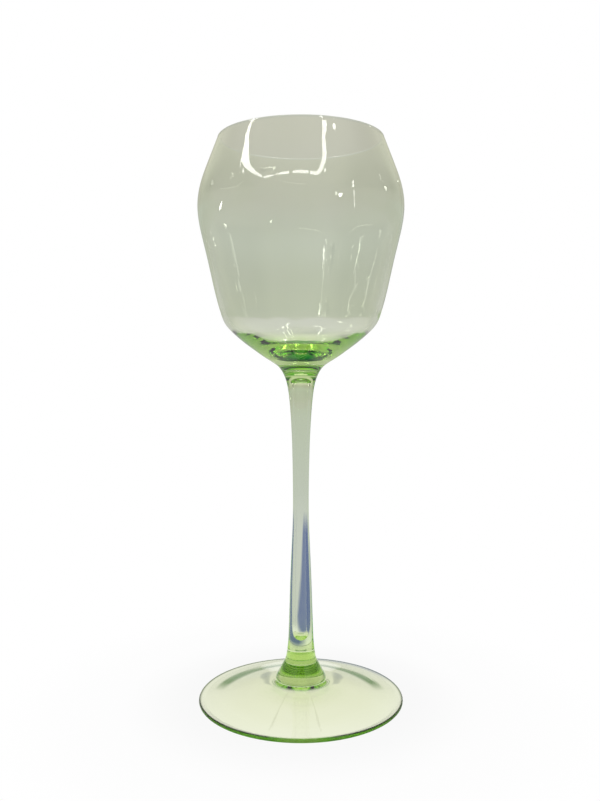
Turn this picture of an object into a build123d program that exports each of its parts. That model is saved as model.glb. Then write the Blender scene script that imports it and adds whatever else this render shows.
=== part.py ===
from build123d import *

# Long-stemmed wine glass in five pieces, fused end to end: a blown bowl, an upper merese (a short
# button of solid glass), a stem with a closed air bore, a lower merese and a spun foot.
#
# Every piece is a body of revolution about +Z. The origin is the centre of the foot's resting
# plane. Lengths are in millimetres, and every outline is a list of (radius, z).

import math
import os

HEIGHT = 220.0  # resting plane to top of lip

# Blown wall: thickness measured level, at three heights
RIM_WALL, SHOULDER_WALL, LOW_WALL = 1.1, 1.2, 1.8
SHOULDER_Z = 193.9  # widest point
WALL_END_Z = 152.0  # where the wall starts to round into the base
FLOOR_Z = 138.0  # lowest point inside the bowl

# Joints between pieces: outside radius and height
BOWL_JOINT = (9.55, 132.6)  # bowl on upper merese
STEM_TOP_JOINT = (7.55, 130.4)  # upper merese on stem
STEM_FOOT_JOINT = (5.9, 16.8)  # stem on lower merese
FOOT_JOINT = (9.95, 8.2)  # lower merese on foot

BORE_TOP_Z, BORE_BOTTOM_Z = 128.2, 23.4

FOOT_R = 40.4
EDGE_TOP_Z = 1.4  # top of the foot's rounded edge
EDGE_INSET = 0.6  # from the foot radius in to where the rounding starts
EDGE_MID_Z = EDGE_TOP_Z / 2 - 0.02  # point on the rounding at the full radius
RING_OUT_R, RING_IN_R = 39.7, 37.6  # flat resting ring
DOME_Z = 6.0  # rise of the foot's underside at the axis

CURVE_STEP = 1.2  # approximate spacing of the points that a smooth curve is drawn through

# Outside of the blown wall, downward from the lip
WALL_OUT = [
    (32.2, 219.45), (32.81, 217.9), (33.47, 216.2), (34.37, 213.9), (35.27, 211.6),
    (36.16, 209.3), (37.04, 207.0), (37.84, 204.8), (38.55, 202.6), (39.13, 200.4),
    (39.57, 198.2), (39.84, 196.1), (39.96, SHOULDER_Z), (39.92, 191.8), (39.73, 189.6),
    (39.42, 187.4), (38.99, 185.1), (38.51, 182.9), (37.96, 180.6), (37.40, 178.3),
    (36.85, 176.0), (36.30, 173.7), (35.78, 171.4), (35.27, 169.1), (34.77, 166.8),
    (34.27, 164.5), (33.76, 162.2), (33.21, 159.9), (32.63, 157.6), (32.00, 155.3),
    (31.40, 153.3), (30.98, WALL_END_Z),
]

# Rounded corner and conical base, carrying on from the wall
BASE_OUT = [
    (30.52, 150.6), (29.95, 149.2), (29.1, 147.85), (27.9, 146.45), (26.25, 144.85),
    (24.6, 143.35), (22.25, 141.4), (19.85, 139.6), (17.55, 137.95), (15.35, 136.35),
    (13.25, 134.95), (11.2, 133.75), BOWL_JOINT,
]

# Inside of the base: a shallow dish, outward from the axis
BOWL_FLOOR = [
    (0.0, FLOOR_Z), (6.0, 138.2), (11.0, 138.95), (15.0, 140.1), (18.5, 141.7),
    (22.0, 143.8), (25.0, 145.95), (27.25, 148.1), (28.85, 150.5),
]

# The next four run from top to bottom
UPPER_MERESE_OUT = [BOWL_JOINT, (8.75, 131.9), (8.1, 131.15), STEM_TOP_JOINT]

STEM_OUT = [
    STEM_TOP_JOINT, (6.95, 129.4), (6.4, 128.3), (5.95, 127.0), (5.55, 125.6),
    (5.2, 124.0), (4.88, 121.8), (4.6, 119.4), (4.38, 117.1), (4.2, 114.7),
    (4.03, 112.4), (3.89, 110.0), (3.77, 107.6), (3.66, 105.3), (3.56, 102.9),
    (3.43, 98.2), (3.32, 93.4), (3.24, 88.6), (3.18, 84.0), (3.15, 79.0),
    (3.17, 75.0), (3.24, 71.0), (3.36, 67.0), (3.52, 63.0), (3.7, 59.0),
    (3.87, 55.0), (4.03, 51.0), (4.17, 47.0), (4.3, 43.0), (4.41, 39.0),
    (4.52, 35.0), (4.64, 31.0), (4.78, 27.0), (4.93, 23.8), (5.12, 21.6),
    (5.36, 19.8), (5.62, 18.3), STEM_FOOT_JOINT,
]

BORE = [
    (0.0, BORE_TOP_Z), (1.5, 128.05), (2.45, 127.4), (2.9, 126.2), (3.0, 124.3),
    (2.95, 121.0), (2.8, 117.0), (2.6, 112.0), (2.4, 106.0), (2.25, 100.0),
    (2.14, 93.0), (2.06, 84.0), (2.04, 76.0), (2.1, 68.0), (2.2, 60.0),
    (2.3, 52.0), (2.38, 45.0), (2.42, 38.0), (2.42, 32.0), (2.36, 28.8),
    (2.15, 26.4), (1.7, 24.6), (1.0, 23.65), (0.0, BORE_BOTTOM_Z),
]

LOWER_MERESE_OUT = [
    STEM_FOOT_JOINT, (6.25, 15.8), (6.85, 14.6), (7.5, 13.4), (8.15, 12.2),
    (8.8, 11.0), (9.4, 9.95), (9.8, 9.1), FOOT_JOINT,
]

# Top of the foot, outward from the joint
FOOT_TOP = [
    FOOT_JOINT, (12.0, 7.5), (15.0, 6.7), (18.0, 5.9), (24.0, 4.45), (30.0, 3.1),
    (34.0, 2.27), (37.0, 1.73), (FOOT_R - EDGE_INSET, EDGE_TOP_Z),
]

# Underside of the foot, inward from the resting ring
FOOT_UNDER = [
    (RING_IN_R, 0.0), (36.0, 0.25), (33.0, 0.75), (29.0, 1.6), (24.0, 2.7),
    (18.0, 3.95), (12.0, 5.0), (6.0, 5.75), (0.0, DOME_Z),
]


def blend(weights, vectors):
    """Weighted sum of (radius, z) vectors."""
    return tuple(sum(w * vector[axis] for w, vector in zip(weights, vectors)) for axis in (0, 1))


def end_tangent(point, slope, neighbour):
    """Tangent at a curve's end: level on the axis, elsewhere carried on from its neighbour."""
    if point[0] == 0:
        return (math.copysign(1, slope[0]), 0.0)
    return blend((1.5, -0.5), (slope, neighbour))


def curve(points):
    """Spline through closely spaced points on a cubic Hermite curve through the given ones."""
    spans = list(zip(points, points[1:]))
    gaps = [math.dist(start, end) for start, end in spans]
    slopes = [blend((-1 / gap, 1 / gap), span) for gap, span in zip(gaps, spans)]
    # Each inner tangent leans towards the slope of the shorter gap beside it
    inner = [
        blend((after / (before + after), before / (before + after)), pair)
        for before, after, pair in zip(gaps, gaps[1:], zip(slopes, slopes[1:]))
    ]
    tangents = [
        end_tangent(points[0], slopes[0], inner[0]),
        *inner,
        end_tangent(points[-1], slopes[-1], inner[-1]),
    ]
    dense = []
    for i, gap in enumerate(gaps):
        parts = max(2, round(gap / CURVE_STEP))
        for k in range(parts):
            t = k / parts
            weights = (
                2 * t**3 - 3 * t**2 + 1,
                (t**3 - 2 * t**2 + t) * gap,
                -2 * t**3 + 3 * t**2,
                (t**3 - t**2) * gap,
            )
            ends = (points[i], tangents[i], points[i + 1], tangents[i + 1])
            dense.append(blend(weights, ends))
    return Spline(dense + [points[-1]])


def on_axis(point):
    """The point on the axis level with the given one."""
    return (0, point[1])


def turned(*edges):
    """The solid made by turning a closed half section about +Z."""
    return revolve(Plane.XZ * make_face(Wire(list(edges))), Axis.Z, 360)


def turned_core(outline):
    """A solid piece with flat ends, from its outside outline."""
    top, bottom = outline[0], outline[-1]
    return turned(
        curve(outline),
        Line(bottom, on_axis(bottom)),
        Line(on_axis(bottom), on_axis(top)),
        Line(on_axis(top), top),
    )


def wall_thickness(z):
    """Level thickness of the blown wall: linear above the shoulder, quadratic below."""
    if z >= SHOULDER_Z:
        t = (z - SHOULDER_Z) / (HEIGHT - SHOULDER_Z)
        return SHOULDER_WALL + (RIM_WALL - SHOULDER_WALL) * t
    t = (SHOULDER_Z - z) / (SHOULDER_Z - WALL_END_Z)
    return SHOULDER_WALL + (LOW_WALL - SHOULDER_WALL) * t**2


def make_bowl():
    # The dish's outermost point stands in for the wall's lowest one on the inside
    wall_in = [(r - wall_thickness(z), z) for r, z in WALL_OUT[:-1]]
    lip_out, lip_in = WALL_OUT[0], wall_in[0]
    lip_mid_r = (lip_in[0] + lip_out[0]) / 2
    return turned(
        ThreePointArc(lip_in, (lip_mid_r, HEIGHT), lip_out),
        curve(WALL_OUT + BASE_OUT),
        Line(BOWL_JOINT, on_axis(BOWL_JOINT)),
        Line(on_axis(BOWL_JOINT), (0, FLOOR_Z)),
        curve(BOWL_FLOOR + wall_in[::-1]),
    )


def make_stem():
    bore = turned(curve(BORE), Line((0, BORE_BOTTOM_Z), (0, BORE_TOP_Z)))
    return turned_core(STEM_OUT) - bore


def make_foot():
    return turned(
        curve(FOOT_TOP),
        ThreePointArc(FOOT_TOP[-1], (FOOT_R, EDGE_MID_Z), (RING_OUT_R, 0)),
        Line((RING_OUT_R, 0), (RING_IN_R, 0)),
        curve(FOOT_UNDER),
        Line((0, DOME_Z), on_axis(FOOT_JOINT)),
        Line(on_axis(FOOT_JOINT), FOOT_JOINT),
    )


pieces = {
    "bowl": make_bowl(),
    "upper_merese": turned_core(UPPER_MERESE_OUT),
    "stem": make_stem(),
    "lower_merese": turned_core(LOWER_MERESE_OUT),
    "foot": make_foot(),
}

os.makedirs("parts", exist_ok=True)
for name, piece in pieces.items():
    solid = piece.solid()
    solid.label = name
    export_step(solid, os.path.join("parts", name + ".step"))
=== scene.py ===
"""A green wine glass, 1 unit = 1 m, standing on z = 0 with its axis on +Z.

From the top: a blown bowl, a merese (a small glass collar), a hollow stem, a second merese and a
foot. The camera stands in front, on -Y, so +X is to the right.
"""

import math

import bmesh
import bpy
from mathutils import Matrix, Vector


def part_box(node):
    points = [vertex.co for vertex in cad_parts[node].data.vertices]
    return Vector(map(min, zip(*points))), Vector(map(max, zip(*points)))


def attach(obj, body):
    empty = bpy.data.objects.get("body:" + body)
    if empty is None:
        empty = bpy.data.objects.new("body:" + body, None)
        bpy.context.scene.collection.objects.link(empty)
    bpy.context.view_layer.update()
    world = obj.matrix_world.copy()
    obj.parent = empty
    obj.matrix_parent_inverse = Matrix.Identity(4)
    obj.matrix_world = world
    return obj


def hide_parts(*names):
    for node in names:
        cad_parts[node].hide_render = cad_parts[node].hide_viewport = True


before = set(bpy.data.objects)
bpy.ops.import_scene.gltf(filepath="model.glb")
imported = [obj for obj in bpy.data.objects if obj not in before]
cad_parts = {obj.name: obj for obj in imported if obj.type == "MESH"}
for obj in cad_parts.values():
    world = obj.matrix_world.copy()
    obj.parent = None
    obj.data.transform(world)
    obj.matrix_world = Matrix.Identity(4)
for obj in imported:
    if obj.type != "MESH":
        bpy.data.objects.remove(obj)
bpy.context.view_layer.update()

MM = 0.001
SEGMENTS = 224       # round the axis
DISC_RINGS = 8       # rings across a joint face
GAP = 0.012          # mm from a joint to each face, so that joint faces never coincide
GLASS, SEALED = 0, 1  # material slots

# --------------------------------------------------------------------------------------------------
# Half sections, in millimetres: (radius, height). Joints are numbered from the top.
# --------------------------------------------------------------------------------------------------


def z_range(node):
    low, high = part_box(node)
    return low[2] / MM, high[2] / MM


JOINT_1_Z, HEIGHT = z_range("bowl")
JOINT_3_Z, JOINT_2_Z = z_range("stem")
JOINT_4_Z = z_range("lower_merese")[0]
JOINT_1_R, JOINT_2_R, JOINT_3_R, JOINT_4_R = 9.55, 7.55, 5.9, 9.95

# Bowl: wall thickness at the rim, the shoulder (the widest place) and the low end of the wall
WALL_RIM, WALL_SHOULDER, WALL_LOW = 1.1, 1.2, 1.8
SHOULDER_Z, WALL_END_Z = 193.9, 152.0
FLOOR_Z = 138.0

BORE_TOP_Z, BORE_BOTTOM_Z = 128.2, 23.4

# Foot: height of its edge, radii of the flat ring it stands on, height of the hollow at the axis
FOOT_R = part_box("foot")[1][0] / MM
FOOT_EDGE, RING_OUT, RING_IN, DOME = 1.4, 39.7, 37.6, 6.0
EDGE_DROP = 0.02     # of the outermost point below half the edge height

WALL_OUT = [
    (32.2, 219.45), (32.81, 217.9), (33.47, 216.2), (34.37, 213.9), (35.27, 211.6), (36.16, 209.3),
    (37.04, 207), (37.84, 204.8), (38.55, 202.6), (39.13, 200.4), (39.57, 198.2), (39.84, 196.1),
    (39.96, SHOULDER_Z), (39.92, 191.8), (39.73, 189.6), (39.42, 187.4), (38.99, 185.1),
    (38.51, 182.9), (37.96, 180.6), (37.40, 178.3), (36.85, 176), (36.30, 173.7), (35.78, 171.4),
    (35.27, 169.1), (34.77, 166.8), (34.27, 164.5), (33.76, 162.2), (33.21, 159.9), (32.63, 157.6),
    (32.00, 155.3), (31.40, 153.3), (30.98, WALL_END_Z),
]
BASE_OUT = [
    (30.52, 150.6), (29.95, 149.2), (29.1, 147.85), (27.9, 146.45), (26.25, 144.85), (24.6, 143.35),
    (22.25, 141.4), (19.85, 139.6), (17.55, 137.95), (15.35, 136.35), (13.25, 134.95),
    (11.2, 133.75), (JOINT_1_R, JOINT_1_Z),
]
BOWL_FLOOR_IN = [
    (0.0, FLOOR_Z), (6.0, 138.2), (11.0, 138.95), (15.0, 140.1), (18.5, 141.7), (22.0, 143.8),
    (25.0, 145.95), (27.25, 148.1), (28.85, 150.5),
]
UPPER_MERESE_OUT = [
    (JOINT_1_R, JOINT_1_Z), (8.75, 131.9), (8.1, 131.15), (JOINT_2_R, JOINT_2_Z),
]
STEM_OUT = [
    (JOINT_2_R, JOINT_2_Z), (6.95, 129.4), (6.4, 128.3), (5.95, 127.0), (5.55, 125.6), (5.2, 124.0),
    (4.88, 121.8), (4.6, 119.4), (4.38, 117.1), (4.2, 114.7), (4.03, 112.4), (3.89, 110.0),
    (3.77, 107.6), (3.66, 105.3), (3.56, 102.9), (3.43, 98.2), (3.32, 93.4), (3.24, 88.6),
    (3.18, 84.0), (3.15, 79.0), (3.17, 75.0), (3.24, 71.0), (3.36, 67.0), (3.52, 63.0), (3.7, 59.0),
    (3.87, 55.0), (4.03, 51.0), (4.17, 47.0), (4.3, 43.0), (4.41, 39.0), (4.52, 35.0), (4.64, 31.0),
    (4.78, 27.0), (4.93, 23.8), (5.12, 21.6), (5.36, 19.8), (5.62, 18.3), (JOINT_3_R, JOINT_3_Z),
]
BORE = [
    (0.0, BORE_TOP_Z), (1.5, 128.05), (2.45, 127.4), (2.9, 126.2), (3.0, 124.3), (2.95, 121.0),
    (2.8, 117.0), (2.6, 112.0), (2.4, 106.0), (2.25, 100.0), (2.14, 93.0), (2.06, 84.0),
    (2.04, 76.0), (2.1, 68.0), (2.2, 60.0), (2.3, 52.0), (2.38, 45.0), (2.42, 38.0), (2.42, 32.0),
    (2.36, 28.8), (2.15, 26.4), (1.7, 24.6), (1.0, 23.65), (0.0, BORE_BOTTOM_Z),
]
LOWER_MERESE_OUT = [
    (JOINT_3_R, JOINT_3_Z), (6.25, 15.8), (6.85, 14.6), (7.5, 13.4), (8.15, 12.2), (8.8, 11.0),
    (9.4, 9.95), (9.8, 9.1), (JOINT_4_R, JOINT_4_Z),
]
FOOT_TOP = [
    (JOINT_4_R, JOINT_4_Z), (12.0, 7.5), (15.0, 6.7), (18.0, 5.9), (24.0, 4.45), (30.0, 3.1),
    (34.0, 2.27), (37.0, 1.73), (FOOT_R - 0.6, FOOT_EDGE),
]
FOOT_UNDER = [
    (RING_IN, 0.0), (36.0, 0.25), (33.0, 0.75), (29.0, 1.6), (24.0, 2.7), (18.0, 3.95),
    (12.0, 5.0), (6.0, 5.75), (0.0, DOME),
]

# Waves left by hot working: (height in mm, number round the piece, turn per mm, start).
# The turn runs with the height, or with the radius on the bowl's floor and on the foot.
WALL_WAVES = (
    (0.012, 2, 0.0, 0.4), (0.0015, 9, 0.03, 1.1), (0.0012, 14, -0.02, 2.3), (0.0008, 23, 0.01, 0.2),
    (0.0008, 0, 0.75, 0.0),
)
FLOOR_WAVES = (
    (0.012, 3, 0.2, 0.3), (0.006, 5, -0.3, 2.0), (0.003, 8, 0.5, 4.1), (0.002, 13, -0.4, 1.2),
)
BASE_WAVES = (
    (0.030, 3, 0.1, 1.9), (0.022, 7, 0.3, 0.6), (0.016, 12, -0.5, 2.8), (0.012, 20, 0.4, 5.0),
)
STEM_WAVES = ((0.050, 2, 0.045, 0.7), (0.020, 3, -0.06, 2.0), (0.010, 5, 0.08, 4.0))
FOOT_WAVES = ((0.020, 2, 0.0, 1.0), (0.012, 5, 0.0, 0.2), (0.006, 11, 0.0, 3.0))

# --------------------------------------------------------------------------------------------------
# Curves
# --------------------------------------------------------------------------------------------------


def smooth(points, step=0.6):
    """Samples a smooth curve through the points; it is level where it meets the axis."""
    last = len(points) - 1
    gaps = [math.dist(a, b) for a, b in zip(points, points[1:])]
    slopes = [
        tuple((end - start) / gap for start, end in zip(points[i], points[i + 1]))
        for i, gap in enumerate(gaps)
    ]
    tangents = [slopes[0]]
    for i in range(1, last):
        before, after = gaps[i - 1], gaps[i]
        tangents.append(tuple(
            (after * s + before * t) / (before + after) if False else
            (before * s + after * t) / (before + after)
            for s, t in zip(slopes[i - 1], slopes[i])
        ) if False else tuple(
            (after * s + before * t) / (before + after)
            for s, t in zip(slopes[i - 1], slopes[i])
        ))
    tangents.append(slopes[-1])
    for i, near in ((0, tangents[1]), (last, tangents[last - 1])):
        if points[i][0] == 0:
            tangents[i] = (math.copysign(1, tangents[i][0]), 0.0)
        else:
            tangents[i] = tuple(1.5 * s - 0.5 * t for s, t in zip(tangents[i], near))
    curve = []
    for i, gap in enumerate(gaps):
        parts = max(1, round(gap / step))
        for k in range(parts):
            t = k / parts
            from_start = 2 * t**3 - 3 * t**2 + 1
            leaving = (t**3 - 2 * t**2 + t) * gap
            from_end = -2 * t**3 + 3 * t**2
            arriving = (t**3 - t**2) * gap
            curve.append(tuple(
                from_start * points[i][c] + leaving * tangents[i][c]
                + from_end * points[i + 1][c] + arriving * tangents[i + 1][c]
                for c in (0, 1)
            ))
    return curve + [points[-1]]


def fair(points, rounds=8):
    """Evens out a sampled curve, so that its curvature has no ripples. The ends stay."""
    for _ in range(rounds):
        middle = [
            tuple(0.25 * a + 0.5 * b + 0.25 * c for a, b, c in zip(*points[i - 1:i + 2]))
            for i in range(1, len(points) - 1)
        ]
        points = [points[0], *middle, points[-1]]
    return points


def arc(start, middle, end, parts):
    """Points on the circle through start, middle and end, from start to end."""
    (ax, ay), (bx, by), (cx, cy) = start, middle, end
    a2, b2, c2 = ax**2 + ay**2, bx**2 + by**2, cx**2 + cy**2
    double_area = 2 * (ax * (by - cy) + bx * (cy - ay) + cx * (ay - by))
    x = (a2 * (by - cy) + b2 * (cy - ay) + c2 * (ay - by)) / double_area
    y = (a2 * (cx - bx) + b2 * (ax - cx) + c2 * (bx - ax)) / double_area
    radius = math.dist((x, y), start)
    first, via, last = (math.atan2(p[1] - y, p[0] - x) for p in (start, middle, end))
    while via < first:
        via += 2 * math.pi
    while last < first:
        last += 2 * math.pi
    if via > last:
        last -= 2 * math.pi
    angles = [first + (last - first) * i / parts for i in range(parts + 1)]
    return [(x + radius * math.cos(a), y + radius * math.sin(a)) for a in angles]


# --------------------------------------------------------------------------------------------------
# Meshes
# --------------------------------------------------------------------------------------------------


def add_object(name, bm):
    mesh = bpy.data.meshes.new(name)
    bm.to_mesh(mesh)
    bm.free()
    obj = bpy.data.objects.new(name, mesh)
    bpy.context.scene.collection.objects.link(obj)
    return obj


def turned(name, chains, shape=None):
    """A closed mesh made by turning sections about +Z.

    A chain is a list of ((r, z), slot), where slot is the material of the band that starts at the
    point. It starts and ends on the axis. The solid is on the right of the way the chain runs, seen
    with r to the right and z up. shape(r, z, angle) may move a point slightly.
    """
    bm = bmesh.new()
    for chain in chains:
        rings = []
        for (r, z), _slot in chain:
            if r < 1e-9:
                rings.append([bm.verts.new((0, 0, z * MM))])
                continue
            ring = []
            for k in range(SEGMENTS):
                angle = 2 * math.pi * k / SEGMENTS
                radius, height = shape(r, z, angle) if shape else (r, z)
                x, y = radius * math.cos(angle), radius * math.sin(angle)
                ring.append(bm.verts.new((x * MM, y * MM, height * MM)))
            rings.append(ring)
        for (_point, slot), ring, following in zip(chain, rings, rings[1:]):
            for k in range(SEGMENTS):
                m = (k + 1) % SEGMENTS
                if len(ring) == 1:
                    corners = (ring[0], following[k], following[m])
                elif len(following) == 1:
                    corners = (ring[m], ring[k], following[0])
                else:
                    corners = (ring[m], ring[k], following[k], following[m])
                face = bm.faces.new(corners)
                face.material_index = slot
                face.smooth = True
    bm.normal_update()
    return add_object(name, bm)


def band(points, slot=GLASS):
    return [(point, slot) for point in points]


def disc_out(r, z):
    """A level joint face, from the axis out to just inside r."""
    return band([(r * t / DISC_RINGS, z) for t in range(DISC_RINGS)], SEALED)


def disc_in(r, z):
    """A level joint face, from r in to the axis."""
    return band([(r * (1 - t / DISC_RINGS), z) for t in range(DISC_RINGS + 1)], SEALED)


def solid_piece(name, side, extra=(), shape=None):
    """A piece between two joints, where its side starts and ends. extra holds closed hollows."""
    (top_r, top_z), (bottom_r, bottom_z) = side[0], side[-1]
    top_z -= GAP
    chain = (disc_out(top_r, top_z) + band([(top_r, top_z)] + side[1:-1])
             + disc_in(bottom_r, bottom_z + GAP))
    return turned(name, [chain, *extra], shape)


def ripple(along, angle, waves):
    return sum(
        size * math.sin(count * angle + turn * along + start)
        for size, count, turn, start in waves
    )


# Bowl

BOWL_OUTSIDE = fair(smooth(WALL_OUT + BASE_OUT))


def wall_thickness(z):
    if z >= SHOULDER_Z:
        t = (z - SHOULDER_Z) / (HEIGHT - SHOULDER_Z)
        return WALL_SHOULDER + (WALL_RIM - WALL_SHOULDER) * t
    t = (SHOULDER_Z - z) / (SHOULDER_Z - WALL_END_Z)
    return WALL_SHOULDER + (WALL_LOW - WALL_SHOULDER) * t**2


def bowl_outside_r(z):
    for (r1, z1), (r0, z0) in zip(BOWL_OUTSIDE, BOWL_OUTSIDE[1:]):
        if z0 <= z <= z1:
            return r0 + (r1 - r0) * (z - z0) / (z1 - z0)
    return BOWL_OUTSIDE[0][0]   # on the lip, above the outside curve


def bowl_shape(r, z, angle):
    """Ripples the floor up and down, and the base and the wall in and out."""
    floor_low_z, floor_high_z, floor_r = 137.5, 156, 30.3
    base_low_z = 132.7
    fade = 4             # mm of height over which the base and wall waves come in
    inner_turn = 0.9     # turn of the waves on the inner side of the wall
    if r < floor_r and floor_low_z < z < floor_high_z and r < bowl_outside_r(z) - 1.0:
        ease = min(1.0, r / 9) * min(1.0, (floor_high_z - z) / 5)
        return r, z + ripple(r, angle, FLOOR_WAVES) * ease
    if z < WALL_END_Z:
        return r + ripple(z, angle, BASE_WAVES) * min(1.0, (z - base_low_z) / fade), z
    if r < bowl_outside_r(z) - 0.6:
        angle += inner_turn
    return r + ripple(z, angle, WALL_WAVES) * min(1.0, (z - WALL_END_Z) / fade), z


def make_bowl():
    wall_in = [(r - wall_thickness(z), z) for r, z in WALL_OUT[:-1]]
    inner = fair(smooth(BOWL_FLOOR_IN + wall_in[::-1]))
    lip_out, lip_in = WALL_OUT[0], wall_in[0]
    lip = arc(lip_in, ((lip_in[0] + lip_out[0]) / 2, HEIGHT), lip_out, 12)
    chain = band(inner[:-1] + lip[:-1] + BOWL_OUTSIDE[:-1]) + disc_in(JOINT_1_R, JOINT_1_Z + GAP)
    return turned("bowl_glass", [chain], bowl_shape)


# Stem


def stem_shape(r, z, angle):
    """Ripples that fade out over 6 mm at both joints."""
    ease = max(0.0, min(1.0, (z - JOINT_3_Z) / 6, (JOINT_2_Z - z) / 6))
    return r + ripple(z, angle, STEM_WAVES) * ease, z


def make_stem():
    bore = fair(smooth(BORE, 0.4), 6)
    return solid_piece("stem_glass", fair(smooth(STEM_OUT)), [band(bore[::-1])], stem_shape)


# Foot


def foot_shape(r, z, angle):
    """Ripples above 1 mm that fade out towards the joint and the edge."""
    if z < 1.0 or r < JOINT_4_R + 0.1:
        return r, z
    ease = min(1.0, (r - JOINT_4_R) / 6, max(0.0, (FOOT_R - 1.0 - r) / 3))
    return r, z + ripple(r, angle, FOOT_WAVES) * ease


def make_foot():
    joint_z = JOINT_4_Z - GAP
    top = [(JOINT_4_R, joint_z)] + smooth(FOOT_TOP)[1:]
    edge = arc(FOOT_TOP[-1], (FOOT_R, FOOT_EDGE / 2 - EDGE_DROP), (RING_OUT, 0.0), 16)
    ring = [(RING_OUT + (RING_IN - RING_OUT) * t / 6, 0.0) for t in range(6)]
    under = fair(smooth(FOOT_UNDER))
    chain = disc_out(JOINT_4_R, joint_z) + band(top[:-1] + edge[:-1] + ring + under)
    return turned("foot_glass", [chain], foot_shape)


# --------------------------------------------------------------------------------------------------
# Shader nodes
# --------------------------------------------------------------------------------------------------


class Graph:
    """The emptied node tree of a material or world, with short calls for the nodes used here.

    A value given to a call may be a number, a vector or the output of another node.
    """

    def __init__(self, owner):
        owner.use_nodes = True
        self.tree = owner.node_tree
        self.tree.nodes.clear()

    def add(self, kind, inputs=None, **settings):
        node = self.tree.nodes.new("ShaderNode" + kind)
        for name, value in settings.items():
            setattr(node, name, value)
        for key, value in (inputs or {}).items():
            if isinstance(value, bpy.types.NodeSocket):
                self.tree.links.new(value, node.inputs[key])
            else:
                node.inputs[key].default_value = value
        return node

    def math(self, operation, *values):
        return self.add("Math", dict(enumerate(values)), operation=operation).outputs[0]

    def product(self, first, *others):
        for other in others:
            first = self.math("MULTIPLY", first, other)
        return first

    def clamp(self, value):
        return self.add("Clamp", {0: value}).outputs[0]

    def rise(self, value, start, slope):
        """0 up to start, then rising by slope per unit until it reaches 1."""
        return self.clamp(self.math("MULTIPLY", self.math("SUBTRACT", value, start), slope))

    def vector(self, operation, *values):
        node = self.add("VectorMath", dict(enumerate(values)), operation=operation)
        return node.outputs["Value" if operation == "LENGTH" else "Vector"]

    def split(self, vector):
        return self.add("SeparateXYZ", {0: vector}).outputs

    def ramp(self, value, stops, mode="EASE"):
        """stops are (position, colour or grey level)."""
        node = self.add("ValToRGB", {0: value})
        node.color_ramp.interpolation = mode
        elements = node.color_ramp.elements
        while len(elements) > 1:
            elements.remove(elements[-1])
        for i, (position, colour) in enumerate(stops):
            element = elements[0] if i == 0 else elements.new(position)
            element.position = position
            rgb = colour if isinstance(colour, tuple) else (colour,) * 3
            element.color = (*rgb, 1)
        return node.outputs[0]

    def toned(self, under, mask, tone):
        """The colour under, replaced by tone where mask is 1."""
        inputs = {"Factor": mask, "A": under, "B": (*tone, 1)}
        return self.add("Mix", inputs, data_type="RGBA").outputs["Result"]

    def noise(self, vector, scale, detail):
        inputs = {"Scale": scale, "Detail": detail, "Roughness": 0.5, "Vector": vector}
        return self.add("TexNoise", inputs).outputs["Fac"]

    def bump(self, height, depth, **under):
        """under may give the Normal that the bump is laid over."""
        inputs = {"Strength": 1.0, "Distance": depth, "Height": height, **under}
        return self.add("Bump", inputs).outputs["Normal"]

    def camera_split(self, others, camera):
        """One shader for camera rays and another for all other rays."""
        is_camera = self.add("LightPath").outputs["Is Camera Ray"]
        inputs = {0: is_camera, 1: others.outputs[0], 2: camera.outputs[0]}
        return self.add("MixShader", inputs).outputs[0]


def crossing(graph):
    """Height at which the light that leaves a lit point for the glass crosses the axis."""
    geometry = graph.add("NewGeometry").outputs
    place = graph.split(geometry["Position"])
    way = graph.split(geometry["Incoming"])

    def level(vector):
        xx = graph.math("MULTIPLY", vector["X"], vector["X"])
        yy = graph.math("MULTIPLY", vector["Y"], vector["Y"])
        return graph.math("SQRT", graph.math("ADD", xx, yy))

    run = graph.math("DIVIDE", level(place), level(way))
    return graph.math("ADD", place["Z"], graph.math("MULTIPLY", way["Z"], run))


# --------------------------------------------------------------------------------------------------
# Glass
# --------------------------------------------------------------------------------------------------

ABSORPTION = (0.021, 0.0075, 0.050)   # of red, green and blue light, per millimetre
SMUDGES = ((0.0, 0.0), (0.55, 0.0), (0.72, 0.022), (1.0, 0.04))   # (noise, roughness)
TINTS = (
    (0.0, (1.0, 1.0, 1.0)), (0.42, (1.0, 1.0, 1.0)), (0.70, (0.985, 0.993, 0.975)),
    (1.0, (0.975, 0.990, 0.955)),
)


def glass(name, stretch, waves=1.0, deeper_tone_and_shade=None):
    """Clear green glass.

    The surface keeps what hot working leaves: waves of about a centimetre, finer striae drawn out
    along the piece, faint smudges that are a little less bright, and a slight unevenness of colour.
    stretch scales the noise along the axis: the smaller, the longer the striae. waves scales the
    depth of the bumps. The last argument is (from, to, tone): the tone comes in between two heights
    in metres and stays above them; on the stem it is a deeper green of the glass, on the lower
    merese a painted shade.
    """
    material = bpy.data.materials.new(name)
    graph = Graph(material)
    place = graph.add("TexCoord").outputs["Object"]
    drawn = graph.vector("MULTIPLY", place, (1, 1, stretch))
    broad = graph.bump(graph.noise(drawn, scale=70.0, detail=1.0), depth=1.2e-5 * waves)
    striae = graph.noise(drawn, scale=480.0, detail=2.0)
    fine = graph.bump(striae, depth=1.2e-6 * waves, Normal=broad)
    smudge = graph.ramp(graph.noise(place, scale=34.0, detail=4.0), SMUDGES, "LINEAR")
    tint = graph.ramp(graph.noise(drawn, scale=50.0, detail=3.0), TINTS, "LINEAR")
    if deeper_tone_and_shade:
        start, end, tone = deeper_tone_and_shade
        height = graph.split(place)["Z"]
        tint = graph.toned(tint, graph.rise(height, start, slope=1.0 / (end - start)), tone)
    surface = graph.add("BsdfPrincipled", {
        "IOR": 1.5, "Transmission Weight": 1.0, "Normal": fine, "Roughness": smudge,
        "Base Color": tint,
    })
    # a little denser than the strongest absorption, so that no colour channel reaches 0
    density = max(ABSORPTION) * 1000 * 1.02
    colour = tuple(1 - a * 1000 / density for a in ABSORPTION) + (1,)
    volume = graph.add("VolumeAbsorption", {"Density": density, "Color": colour})
    graph.add("OutputMaterial", {"Surface": surface.outputs[0], "Volume": volume.outputs[0]})
    return material


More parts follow.
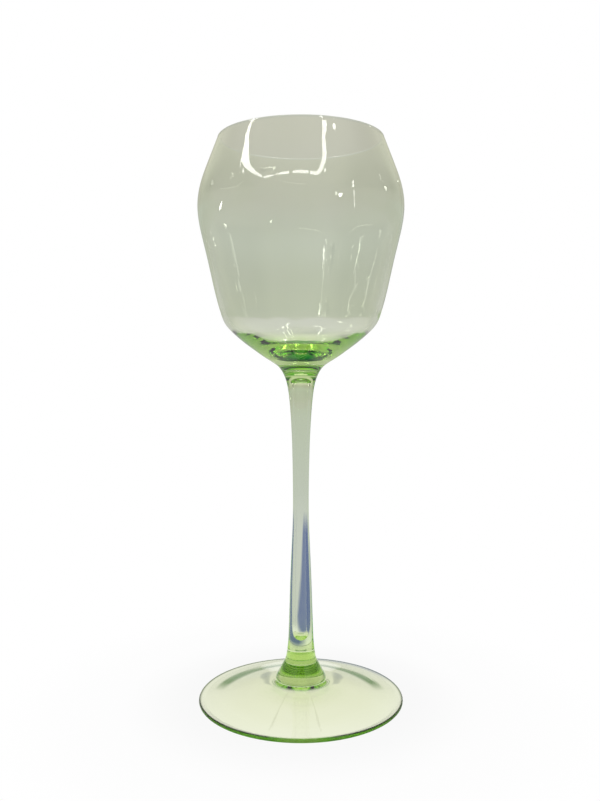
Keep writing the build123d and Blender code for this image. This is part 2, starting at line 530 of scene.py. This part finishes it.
def seal(name):
    """Invisible skin for the faces of a fused joint."""
    material = bpy.data.materials.new(name)
    graph = Graph(material)
    graph.add("OutputMaterial", {"Surface": graph.add("BsdfTransparent").outputs[0]})
    return material


def make_glass():
    bowl = make_bowl()
    upper = solid_piece("upper_merese_glass", smooth(UPPER_MERESE_OUT, 0.3))
    stem = make_stem()
    lower = solid_piece("lower_merese_glass", smooth(LOWER_MERESE_OUT, 0.3))
    foot = make_foot()

    blown = glass("blown_glass", stretch=0.55)
    solid = glass("solid_glass", stretch=0.8)
    drawn = glass("drawn_glass", stretch=0.12, waves=2.5,
                  deeper_tone_and_shade=(0.062, 0.105, (0.972, 0.985, 0.938)))
    spun = glass("spun_glass", stretch=1.0)
    # above 12.5 mm the lower merese is darker: a painted shade for its dark band
    button = glass("button_glass", stretch=0.8, deeper_tone_and_shade=(0.0105, 0.0125, (0.66, 0.68, 0.80)))
    joint = seal("fused_joint")
    for piece, node, slot, skin in (
        (bowl, "bowl", "bowl_glass", blown),
        (upper, "upper_merese", "merese_glass", solid),
        (stem, "stem", "stem_glass", drawn),
        (lower, "lower_merese", "merese_glass", button),
        (foot, "foot", "foot_glass", spun),
    ):
        piece.data.materials.append(skin)
        piece.data.materials.append(joint)
        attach(piece, "root")
        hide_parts(node)


# --------------------------------------------------------------------------------------------------
# Floor, in metres
# --------------------------------------------------------------------------------------------------

FLOOR_R, FLOOR_SIDES = 6.0, 96
FLOOR_DROP = 0.00005     # below z = 0, so that the foot's ring doesn't touch it

BOWL_FLOOR = (0.585, 0.58, 0.57)      # far floor seen through the bowl
STEM_FLOOR = (0.555, 0.58, 0.565)     # floor seen through the stem
BLUE_SHADE = (0.120, 0.160, 0.360)         # a painted blue-grey shade on the floor to the right behind the glass

# Brightness for the camera: (distance from the axis / SEEN_R, level); darker towards the axis, a
# painted shadow round the foot
SEEN_R = 0.25
FLOOR_SEEN_SHADOWED = ((0.0, 0.86), (0.15, 0.94), (0.30, 0.985), (0.5, 1.0))
# Colour as the glass sees it: (distance / THROUGH_R, colour): a painted shadow tinted by the glass
# under the foot, bright round it, then falling off into the room
THROUGH_R = 1.0
FLOOR_THROUGH = (
    (0.0, (0.79, 0.80, 0.60)), (0.022, (0.84, 0.85, 0.68)), (0.036, (0.89, 0.90, 0.76)),
    (0.05, (0.93, 0.93, 0.91)), (0.10, (0.93, 0.93, 0.91)), (0.30, (0.75, 0.75, 0.70)),
    (0.60, (0.50, 0.525, 0.43)), (1.0, (0.48, 0.51, 0.40)),
)
# Painted shadows under the foot: centre, size, tone, (distance / size, strength), whether it shows
# only from the front, whether it is only on the far side. A contact shadow ring, the shadow of the
# far rim and two painted dark spots behind.
SHADOW_SPOT_SIZE, SHADOW_SPOT_TONE = 0.0038, (0.36, 0.39, 0.36)
SHADOW_SPOT_STOPS = ((0.0, 0.9), (0.35, 0.75), (0.9, 0.0))
FOOT_SHADES = (
    ((0.0, 0.0), 0.050, (0.20, 0.25, 0.155),
     ((0.78, 0.0), (0.80, 1.0), (0.825, 1.0), (0.85, 0.0)), False, False),
    ((-0.0006, -0.0018), 0.050, (0.10, 0.235, 0.055),
     ((0.60, 0.0), (0.645, 1.0), (0.675, 1.0), (0.71, 0.0)), True, True),
    ((-0.0135, 0.0175), SHADOW_SPOT_SIZE, SHADOW_SPOT_TONE, SHADOW_SPOT_STOPS, True, False),
    ((0.0142, 0.0170), SHADOW_SPOT_SIZE, SHADOW_SPOT_TONE, SHADOW_SPOT_STOPS, True, False),
)


def shaded(graph, under, place):
    """Lays the foot's painted shadows over the floor colour."""
    incoming = graph.add("NewGeometry").outputs["Incoming"]
    level = graph.vector("NORMALIZE", graph.vector("MULTIPLY", incoming, (1, 1, 0)))
    forward = graph.math("MULTIPLY", graph.split(level)["Y"], -1.0)
    front = graph.rise(forward, start=0.92, slope=22.0)
    for centre, size, tone, stops, front_only, far_only in FOOT_SHADES:
        away = graph.vector("LENGTH", graph.vector("SUBTRACT", place, (*centre, 0)))
        mask = graph.ramp(graph.math("DIVIDE", away, size), stops)
        if far_only:
            far_side = graph.rise(graph.split(place)["Y"], start=0.004, slope=120.0)
            mask = graph.product(mask, far_side)
        if front_only:
            mask = graph.product(mask, front)
        under = graph.toned(under, mask, tone)
    return under


def blue_shade_mask(graph, place, distance):
    """Where the painted blue-grey shade lies: a sector behind the glass that narrows to the right
    with distance.
    """
    axes = graph.split(place)
    across = graph.math("MULTIPLY_ADD", axes["Y"], 0.36, axes["X"])
    beyond = graph.math("MAXIMUM", graph.math("SUBTRACT", distance, 0.095), 0.0)
    edge = graph.math("MULTIPLY", beyond, 0.64)
    side = graph.rise(across, start=edge, slope=45.0)
    near_end = graph.rise(distance, start=0.032, slope=60.0)
    far_end = graph.rise(0.40, start=distance, slope=9.0)   # falls to 0 at 0.40
    behind = graph.clamp(graph.math("MULTIPLY", axes["Y"], 50.0))
    return graph.product(side, near_end, far_end, behind)


def floor_material():
    """Pale floor. The camera sees it bright, with a painted shadow round the foot; the glass sees
    painted shadows and a painted blue-grey shade too.
    """
    material = bpy.data.materials.new("floor_pale")
    graph = Graph(material)
    place = graph.add("TexCoord").outputs["Object"]
    distance = graph.vector("LENGTH", place)
    # painted shadow: for the camera the floor is darker near the axis
    shade = graph.ramp(graph.math("DIVIDE", distance, SEEN_R), FLOOR_SEEN_SHADOWED)
    seen = graph.add("Emission", {"Color": shade})

    # painted shadow under the foot, tinted by the glass, in the floor colour the glass sees
    colour = graph.ramp(graph.math("DIVIDE", distance, THROUGH_R), FLOOR_THROUGH)
    # painted shadows of the foot on the floor, seen through the glass
    colour = shaded(graph, colour, place)
    # which part of the glass the light goes to, by the height at which it crosses the axis
    height = crossing(graph)
    at_bowl = graph.rise(height, start=0.112, slope=80.0)
    at_stem = graph.math("SUBTRACT", graph.rise(height, start=0.019, slope=300.0), at_bowl)
    far = graph.rise(distance, start=0.30, slope=3.0)
    colour = graph.toned(colour, graph.product(at_bowl, far), BOWL_FLOOR)
    grey = graph.rise(distance, start=0.04, slope=25.0)
    grey_strength = 0.85
    colour = graph.toned(colour, graph.product(grey, at_stem, grey_strength), STEM_FLOOR)
    # only the stem shows the painted blue-grey shade
    # painted shade: a blue-grey patch on the floor, seen only through the stem
    blue_shade = graph.product(blue_shade_mask(graph, place, distance), at_stem)
    colour = graph.toned(colour, blue_shade, BLUE_SHADE)
    through = graph.add("Emission", {"Color": colour})
    surface = graph.camera_split(others=through, camera=seen)
    graph.add("OutputMaterial", {"Surface": surface})
    return material


def make_floor():
    bm = bmesh.new()
    angles = [2 * math.pi * k / FLOOR_SIDES for k in range(FLOOR_SIDES)]
    bm.faces.new([
        bm.verts.new((FLOOR_R * math.cos(a), FLOOR_R * math.sin(a), -FLOOR_DROP)) for a in angles
    ])
    floor = add_object("floor", bm)
    floor.data.materials.append(floor_material())


# --------------------------------------------------------------------------------------------------
# World
# --------------------------------------------------------------------------------------------------

# Colour of the room: (height of the direction, from 0 straight down to 1 straight up, colour)
ROOM_LEVELS = (
    (0.0, (0.45, 0.45, 0.42)), (0.46, (0.49, 0.50, 0.43)), (0.497, (0.535, 0.54, 0.50)),
    (0.508, (0.51, 0.525, 0.465)), (0.538, (0.500, 0.520, 0.465)), (0.565, (0.525, 0.55, 0.50)),
    (0.60, (0.503, 0.503, 0.445)), (0.64, (0.525, 0.52, 0.445)), (0.68, (0.64, 0.63, 0.54)),
    (0.76, (0.70, 0.69, 0.60)), (0.9, (0.85, 0.85, 0.82)), (1.0, (1.0, 1.0, 0.98)),
)
BAND_RANGE, BAND_LOW = 0.34, 0.83    # brightness of the bands: noise * range + low
SIDE_DIMMING = 0.55


def make_world():
    """White for the camera; a dim room for the glass."""
    world = bpy.data.worlds.new("studio")
    bpy.context.scene.world = world
    graph = Graph(world)
    way = graph.add("TexCoord").outputs["Generated"]
    axes = graph.split(way)
    level = graph.ramp(graph.math("MULTIPLY_ADD", axes["Z"], 0.5, 0.5), ROOM_LEVELS)
    # soft upright bands, as of curtains and cupboards a long way off
    noise = graph.noise(graph.vector("MULTIPLY", way, (1, 1, 0.06)), scale=5.0, detail=2.0)
    bands = graph.math("MULTIPLY_ADD", noise, BAND_RANGE, BAND_LOW)
    # darker to both sides, higher up
    aside = graph.rise(graph.math("ABSOLUTE", axes["X"]), start=0.62, slope=5.0)
    above = graph.rise(axes["Z"], start=0.22, slope=12.0)
    dim = graph.math("SUBTRACT", 1.0, graph.product(aside, above, SIDE_DIMMING))
    room = graph.add("Background", {"Strength": graph.product(bands, dim), "Color": level})
    white = graph.add("Background", {"Color": (1, 1, 1, 1)})
    graph.add("OutputWorld", {"Surface": graph.camera_split(others=room, camera=white)})


# --------------------------------------------------------------------------------------------------
# Lamps: (brightness, pairs of edge points along the strip), in metres
# --------------------------------------------------------------------------------------------------

STRIP_GLOW, SPARK_GLOW = 13.0, 10.0

# Strip lamps round and over the glass
STRIPS = [
    (1.0, [
        ((-1.762, -0.360, 1.447), (-1.477, -0.084, 1.808)),
        ((-1.524, 0.013, 1.767), (-1.490, -0.101, 1.795)),
        ((-1.540, 0.034, 1.750), (-1.500, -0.101, 1.786)),
        ((-1.551, 0.044, 1.740), (-1.497, -0.136, 1.787)),
        ((-1.556, -0.010, 1.735), (-1.491, -0.204, 1.784)),
        ((-1.566, -0.053, 1.724), (-1.488, -0.276, 1.777)),
        ((-1.596, -0.096, 1.691), (-1.501, -0.377, 1.743)),
        ((-1.643, -0.207, 1.629), (-1.519, -0.501, 1.691)),
        ((-1.682, -0.420, 1.535), (-1.537, -0.627, 1.623)),
        ((-1.677, -0.667, 1.438), (-1.546, -0.752, 1.552)),
        ((-1.626, -0.903, 1.354), (-1.531, -0.919, 1.465)),
        ((-1.551, -1.116, 1.270), (-1.480, -1.104, 1.376)),
        ((-1.458, -1.297, 1.196), (-1.407, -1.284, 1.281)),
        ((-1.366, -1.443, 1.125), (-1.329, -1.429, 1.195)),
    ]),
    (1.0, [
        ((-1.304, -1.522, 1.087), (-1.305, -1.479, 1.155)),
        ((-1.156, -1.626, 1.108), (-1.159, -1.556, 1.218)),
        ((-0.967, -1.703, 1.182), (-0.973, -1.659, 1.249)),
    ]),
    (1.0, [
        ((-0.880, -1.728, 1.219), (-0.883, -1.684, 1.286)),
        ((-0.648, -1.813, 1.244), (-0.653, -1.738, 1.360)),
        ((-0.434, -1.863, 1.268), (-0.436, -1.791, 1.380)),
    ]),
    (1.0, [
        ((-0.289, -1.865, 1.310), (-0.288, -1.805, 1.404)),
        ((-0.034, -1.897, 1.293), (-0.032, -1.805, 1.437)),
        ((0.281, -1.879, 1.289), (0.282, -1.807, 1.403)),
    ]),
    (1.0, [
        ((0.319, -1.884, 1.271), (0.333, -1.808, 1.389)),
        ((0.477, -1.878, 1.222), (0.482, -1.783, 1.376)),
        ((0.635, -1.831, 1.220), (0.568, -1.755, 1.379)),
        ((0.740, -1.699, 1.366), (0.614, -1.686, 1.453)),
        ((0.803, -1.552, 1.517), (0.661, -1.565, 1.578)),
        ((0.837, -1.377, 1.678), (0.696, -1.419, 1.711)),
        ((0.846, -1.211, 1.810), (0.714, -1.268, 1.830)),
        ((0.833, -1.067, 1.915), (0.713, -1.137, 1.923)),
        ((0.812, -1.006, 1.960), (0.700, -1.069, 1.971)),
        ((0.811, -0.974, 1.978), (0.696, -1.036, 1.991)),
        ((0.833, -0.935, 1.989), (0.711, -1.002, 2.005)),
        ((0.883, -0.887, 1.989), (0.742, -0.971, 2.009)),
        ((0.900, -0.856, 1.996), (0.747, -0.952, 2.017)),
    ]),
    (1.0, [
        ((1.077, -0.726, 1.956), (1.122, -0.679, 1.946)),
        ((1.066, -0.743, 1.955), (1.146, -0.663, 1.937)),
        ((1.094, -0.722, 1.947), (1.138, -0.677, 1.937)),
    ]),
    (1.2, [
        ((-1.734, -0.493, 1.441), (-1.718, -0.536, 1.446)),
        ((-1.782, -0.613, 1.316), (-1.761, -0.664, 1.320)),
    ]),
    (3.0, [
        ((1.424, -1.664, 0.386), (1.489, -1.605, 0.397)),
        ((1.402, -1.689, 0.326), (1.517, -1.585, 0.341)),
        ((1.430, -1.670, 0.272), (1.496, -1.610, 0.279)),
    ]),
    (1.8, [
        ((-1.187, -1.767, -0.377), (-1.143, -1.794, -0.382)),
        ((-1.210, -1.747, -0.389), (-1.124, -1.801, -0.397)),
        ((-1.190, -1.755, -0.405), (-1.147, -1.782, -0.409)),
    ]),
    (1.0, [
        ((1.723, -1.075, 1.026), (1.753, -1.023, 1.030)),
        ((1.767, -1.198, 0.713), (1.808, -1.133, 0.716)),
    ]),
    (0.8, [
        ((1.816, -1.172, 0.591), (1.837, -1.136, 0.599)),
        ((1.845, -1.191, 0.312), (1.867, -1.156, 0.320)),
    ]),
    (0.8, [
        ((1.856, -1.180, 0.234), (1.875, -1.149, 0.239)),
        ((1.875, -1.134, -0.013), (1.897, -1.099, -0.007)),
    ]),
    (1.2, [
        ((-2.187, 0.142, 0.372), (-2.191, 0.079, 0.358)),
        ((-2.183, 0.251, 0.280), (-2.194, 0.151, 0.247)),
        ((-2.175, 0.329, 0.179), (-2.184, 0.264, 0.163)),
    ]),
    (1.0, [
        ((-2.178, 0.159, -0.089), (-2.180, 0.099, -0.098)),
        ((-2.174, 0.127, -0.132), (-2.176, 0.043, -0.144)),
    ]),
    (0.1, [
        ((1.024, -1.837, -0.465), (1.056, -1.820, -0.463)),
        ((1.035, -1.835, -0.454), (1.087, -1.806, -0.451)),
    ]),
    (1.2, [
        ((0.822, -1.582, 1.468), (0.886, -1.542, 1.476)),
        ((0.841, -1.660, 1.353), (0.906, -1.620, 1.362)),
    ]),
]

# Smaller lamps and bright gaps, met by light that has been through the bowl's wall and off its
# far side
SPARKS = [
    (2.20, [
        ((0.381, 0.362, 2.316), (0.431, 0.272, 2.320)),
        ((0.456, -0.286, 2.313), (0.521, -0.389, 2.282)),
        ((0.478, -0.682, 2.216), (0.532, -0.696, 2.198)),
    ]),
    (2.20, [
        ((-0.975, -1.571, 1.371), (-0.911, -1.476, 1.534)),
        ((-1.058, -1.397, 1.510), (-1.028, -1.434, 1.494)),
        ((-1.221, -1.284, 1.484), (-1.216, -1.316, 1.456)),
        ((-1.332, -1.216, 1.439), (-1.335, -1.186, 1.465)),
    ]),
    (2.20, [
        ((-1.322, 0.040, 1.938), (-1.399, -0.055, 1.877)),
        ((-1.349, 0.281, 1.895), (-1.387, 0.253, 1.869)),
        ((-1.358, 0.508, 1.835), (-1.386, 0.496, 1.815)),
    ]),
    (2.00, [
        ((0.576, 0.245, 2.289), (0.546, 0.103, 2.309)),
        ((0.470, 0.825, 2.165), (0.432, 0.690, 2.224)),
    ]),
    (1.30, [
        ((0.341, 0.515, 2.291), (0.355, 0.362, 2.321)),
        ((0.264, 0.443, 2.319), (0.277, 0.314, 2.340)),
        ((0.186, 0.392, 2.337), (0.195, 0.269, 2.355)),
        ((0.106, 0.366, 2.347), (0.112, 0.242, 2.364)),
        ((0.025, 0.347, 2.352), (0.027, 0.222, 2.369)),
    ]),
    (1.30, [
        ((-0.231, 0.359, 2.338), (-0.246, 0.219, 2.355)),
        ((-0.315, 0.375, 2.325), (-0.335, 0.230, 2.342)),
        ((-0.401, 0.432, 2.300), (-0.426, 0.259, 2.323)),
        ((-0.485, 0.511, 2.264), (-0.516, 0.310, 2.296)),
        ((-0.565, 0.602, 2.219), (-0.601, 0.362, 2.265)),
    ]),
    (2.00, [
        ((0.358, 0.794, 2.200), (0.342, 0.662, 2.250)),
        ((0.267, 1.189, 2.012), (0.258, 1.064, 2.088)),
        ((0.142, 1.669, 1.606), (0.149, 1.587, 1.696)),
    ]),
    (2.00, [
        ((-0.525, 0.760, 2.177), (-0.518, 0.898, 2.120)),
        ((-0.390, 1.148, 2.016), (-0.383, 1.288, 1.922)),
        ((-0.248, 1.594, 1.676), (-0.220, 1.705, 1.553)),
    ]),
    (0.30, [
        ((1.955, 0.609, 0.984), (1.977, 0.501, 1.005)),
        ((1.958, 0.609, 0.978), (1.983, 0.485, 1.001)),
        ((1.960, 0.612, 0.971), (1.987, 0.470, 0.998)),
        ((1.960, 0.609, 0.971), (1.985, 0.489, 0.993)),
        ((1.953, 0.613, 0.987), (1.974, 0.516, 1.003)),
    ]),
    (0.25, [
        ((1.974, 0.481, 1.023), (1.985, 0.410, 1.035)),
        ((1.968, 0.486, 1.035), (1.980, 0.410, 1.048)),
        ((1.962, 0.493, 1.044), (1.974, 0.409, 1.060)),
        ((1.951, 0.507, 1.060), (1.965, 0.417, 1.077)),
        ((1.936, 0.533, 1.078), (1.950, 0.445, 1.096)),
        ((1.914, 0.531, 1.127), (1.928, 0.445, 1.142)),
        ((1.890, 0.533, 1.172), (1.904, 0.449, 1.186)),
        ((1.873, 0.592, 1.171), (1.886, 0.507, 1.194)),
    ]),
    (0.25, [
        ((-1.778, 1.006, 0.997), (-1.745, 1.075, 0.979)),
        ((-1.791, 1.001, 0.973), (-1.756, 1.076, 0.954)),
        ((-1.801, 0.998, 0.954), (-1.761, 1.081, 0.935)),
        ((-1.806, 0.998, 0.942), (-1.763, 1.086, 0.922)),
        ((-1.816, 0.989, 0.931), (-1.773, 1.079, 0.909)),
        ((-1.826, 0.981, 0.919), (-1.783, 1.072, 0.897)),
        ((-1.833, 0.973, 0.911), (-1.790, 1.064, 0.890)),
        ((-1.845, 0.950, 0.911), (-1.801, 1.045, 0.889)),
        ((-1.856, 0.929, 0.910), (-1.812, 1.027, 0.888)),
        ((-1.866, 0.909, 0.911), (-1.821, 1.011, 0.889)),
        ((-1.862, 0.910, 0.918), (-1.821, 1.003, 0.899)),
        ((-1.854, 0.916, 0.931), (-1.819, 0.998, 0.912)),
        ((-1.848, 0.921, 0.938), (-1.819, 0.992, 0.921)),
    ]),
    (0.30, [
        ((-2.012, 0.120, 1.061), (-2.012, 0.187, 1.050)),
        ((-2.012, 0.046, 1.069), (-2.014, 0.115, 1.057)),
        ((-2.009, -0.027, 1.077), (-2.013, 0.044, 1.066)),
        ((-1.998, -0.096, 1.095), (-2.005, -0.022, 1.086)),
        ((-1.984, -0.136, 1.121), (-1.991, -0.063, 1.114)),
        ((-1.969, -0.175, 1.146), (-1.978, -0.105, 1.137)),
        ((-1.956, -0.217, 1.164), (-1.967, -0.149, 1.154)),
        ((-1.947, -0.207, 1.184), (-1.957, -0.140, 1.175)),
        ((-1.929, -0.196, 1.219), (-1.939, -0.133, 1.211)),
    ]),
    (0.40, [
        ((-1.034, -1.640, 1.220), (-1.070, -1.618, 1.218)),
        ((-1.037, -1.591, 1.291), (-1.070, -1.571, 1.288)),
        ((-1.042, -1.549, 1.343), (-1.073, -1.530, 1.341)),
    ]),
    (0.25, [
        ((-1.037, -1.504, 1.406), (-1.075, -1.479, 1.404)),
        ((-1.033, -1.484, 1.433), (-1.080, -1.454, 1.429)),
        ((-1.034, -1.479, 1.438), (-1.089, -1.443, 1.434)),
        ((-1.046, -1.476, 1.432), (-1.097, -1.442, 1.428)),
    ]),
    (0.00, [
        ((-1.165, -1.399, 1.414), (-1.152, -1.405, 1.420)),
        ((-1.353, -1.329, 1.296), (-1.261, -1.316, 1.413)),
        ((-1.384, -1.202, 1.397), (-1.332, -1.200, 1.455)),
        ((-1.479, -1.094, 1.386), (-1.470, -1.103, 1.389)),
    ]),
    (0.30, [
        ((-1.236, -1.413, 1.326), (-1.269, -1.387, 1.323)),
        ((-1.241, -1.369, 1.375), (-1.273, -1.342, 1.371)),
        ((-1.249, -1.332, 1.408), (-1.281, -1.304, 1.404)),
    ]),
    (0.30, [
        ((-1.597, -1.065, 1.254), (-1.533, -1.027, 1.378)),
        ((-1.523, -1.037, 1.382), (-1.547, -1.006, 1.378)),
    ]),
    (0.60, [
        ((-1.965, -0.225, 1.143), (-1.971, -0.179, 1.141)),
        ((-1.946, -0.194, 1.187), (-1.953, -0.143, 1.184)),
        ((-1.930, -0.163, 1.222), (-1.937, -0.109, 1.217)),
        ((-1.919, -0.135, 1.248), (-1.925, -0.077, 1.242)),
        ((-1.916, -0.104, 1.257), (-1.923, -0.049, 1.248)),
        ((-1.922, -0.081, 1.247), (-1.929, -0.027, 1.237)),
    ]),
    (0.60, [
        ((-1.833, -0.481, 1.298), (-1.848, -0.435, 1.292)),
        ((-1.853, -0.448, 1.278), (-1.871, -0.390, 1.269)),
    ]),
    (1.60, [
        ((1.359, -1.724, 0.330), (1.312, -1.760, 0.324)),
        ((1.375, -1.703, 0.400), (1.290, -1.770, 0.391)),
        ((1.353, -1.711, 0.467), (1.306, -1.747, 0.462)),
    ]),
    (0.90, [
        ((1.999, 0.718, 0.755), (2.032, 0.632, 0.738)),
        ((1.976, 0.678, 0.870), (2.016, 0.565, 0.857)),
    ]),
    (0.25, [
        ((0.136, -2.110, 0.788), (0.134, -2.122, 0.746)),
        ((0.012, -2.111, 0.800), (0.010, -2.123, 0.757)),
        ((-0.112, -2.104, 0.813), (-0.114, -2.117, 0.768)),
        ((-0.234, -2.090, 0.827), (-0.239, -2.103, 0.780)),
        ((-0.348, -2.067, 0.848), (-0.354, -2.080, 0.802)),
        ((-0.462, -2.038, 0.868), (-0.468, -2.051, 0.825)),
        ((-0.574, -2.003, 0.887), (-0.580, -2.014, 0.849)),
        ((-0.683, -1.961, 0.907), (-0.691, -1.971, 0.871)),
        ((-0.796, -1.902, 0.948), (-0.806, -1.909, 0.918)),
        ((-0.908, -1.835, 0.986), (-0.917, -1.841, 0.960)),
        ((-1.016, -1.760, 1.022), (-1.025, -1.766, 0.999)),
    ]),
    (0.25, [
        ((-1.871, -0.802, 1.015), (-1.866, -0.830, 0.999)),
        ((-1.926, -0.732, 0.952), (-1.921, -0.763, 0.934)),
        ((-1.976, -0.656, 0.889), (-1.972, -0.691, 0.867)),
        ((-2.022, -0.580, 0.824), (-2.024, -0.610, 0.789)),
        ((-2.072, -0.400, 0.801), (-2.078, -0.420, 0.768)),
        ((-2.106, -0.206, 0.780), (-2.114, -0.222, 0.749)),
        ((-2.115, -0.024, 0.784), (-2.123, -0.035, 0.757)),
        ((-2.108, 0.167, 0.788), (-2.115, 0.156, 0.763)),
        ((-2.082, 0.365, 0.790), (-2.090, 0.355, 0.769)),
    ]),
    (0.60, [
        ((1.108, 1.787, 0.827), (1.189, 1.728, 0.844)),
        ((1.073, 1.809, 0.825), (1.157, 1.748, 0.847)),
    ]),
]


def lamp_material(name, glow, inside_share):
    material = bpy.data.materials.new(name)
    graph = Graph(material)
    depth = graph.add("LightPath").outputs["Transmission Depth"]
    outside = graph.math("LESS_THAN", depth, 0.5)
    share = graph.math("MULTIPLY_ADD", outside, glow * (1 - 2 * inside_share), glow * inside_share)
    # they reach the bowl and the stem but not the foot
    reach = graph.rise(crossing(graph), start=0.085, slope=50.0)
    power = graph.add("Attribute", attribute_name="glow").outputs["Fac"]
    strength = graph.product(power, graph.product(share, reach))
    light = graph.add("Emission", {"Color": (1.0, 0.99, 0.96, 1), "Strength": strength})
    graph.add("OutputMaterial", {"Surface": light.outputs[0]})
    return material


def make_lamps(name, strips, glow, inside_share):
    """Thin lamps that the camera does not see itself; the glass mirrors them.

    inside_share is the share of the brightness met by light that has passed through glass on its
    way; the rest of the light is mirrored at the outside.
    """
    bm = bmesh.new()
    layer = bm.faces.layers.float.new("glow")
    for power, pairs in strips:
        rows = [(bm.verts.new(a), bm.verts.new(b)) for a, b in pairs]
        for (a0, b0), (a1, b1) in zip(rows, rows[1:]):
            face = bm.faces.new((a0, b0, b1, a1))
            face[layer] = power
    lamps = add_object(name, bm)
    lamps.data.materials.append(lamp_material(name, glow, inside_share))
    lamps.visible_camera = False
    lamps.visible_transmission = inside_share > 0.5


# --------------------------------------------------------------------------------------------------
# Camera and render settings
# --------------------------------------------------------------------------------------------------

CAMERA_PLACE = (0.0, -0.3221, 0.1332)
CAMERA_DIP = 2.59                # degrees below level
SENSOR, LENS = 36.0, 36.87191    # mm
SHIFT_X = -0.001123596           # of the sensor width


def make_camera():
    data = bpy.data.cameras.new("camera")
    data.sensor_width = SENSOR
    data.lens = LENS
    data.shift_x = SHIFT_X
    data.clip_start = 0.01
    camera = bpy.data.objects.new("camera", data)
    camera.location = CAMERA_PLACE
    camera.rotation_euler = (math.radians(90 - CAMERA_DIP), 0, 0)
    bpy.context.scene.collection.objects.link(camera)
    bpy.context.scene.camera = camera


def set_render():
    """Plain colours, and enough bounces for light to get through all the walls of glass."""
    scene = bpy.context.scene
    scene.view_settings.view_transform = "Standard"
    scene.view_settings.look = "None"
    scene.cycles.max_bounces = 40
    scene.cycles.transmission_bounces = 36
    scene.cycles.glossy_bounces = 24
    scene.cycles.transparent_max_bounces = 32
    scene.cycles.use_denoising = True


make_glass()
make_world()
make_floor()
make_lamps("strip_lamps", STRIPS, STRIP_GLOW, inside_share=0.05)
make_lamps("spark_lamps", SPARKS, SPARK_GLOW, inside_share=1.0)
make_camera()
set_render()
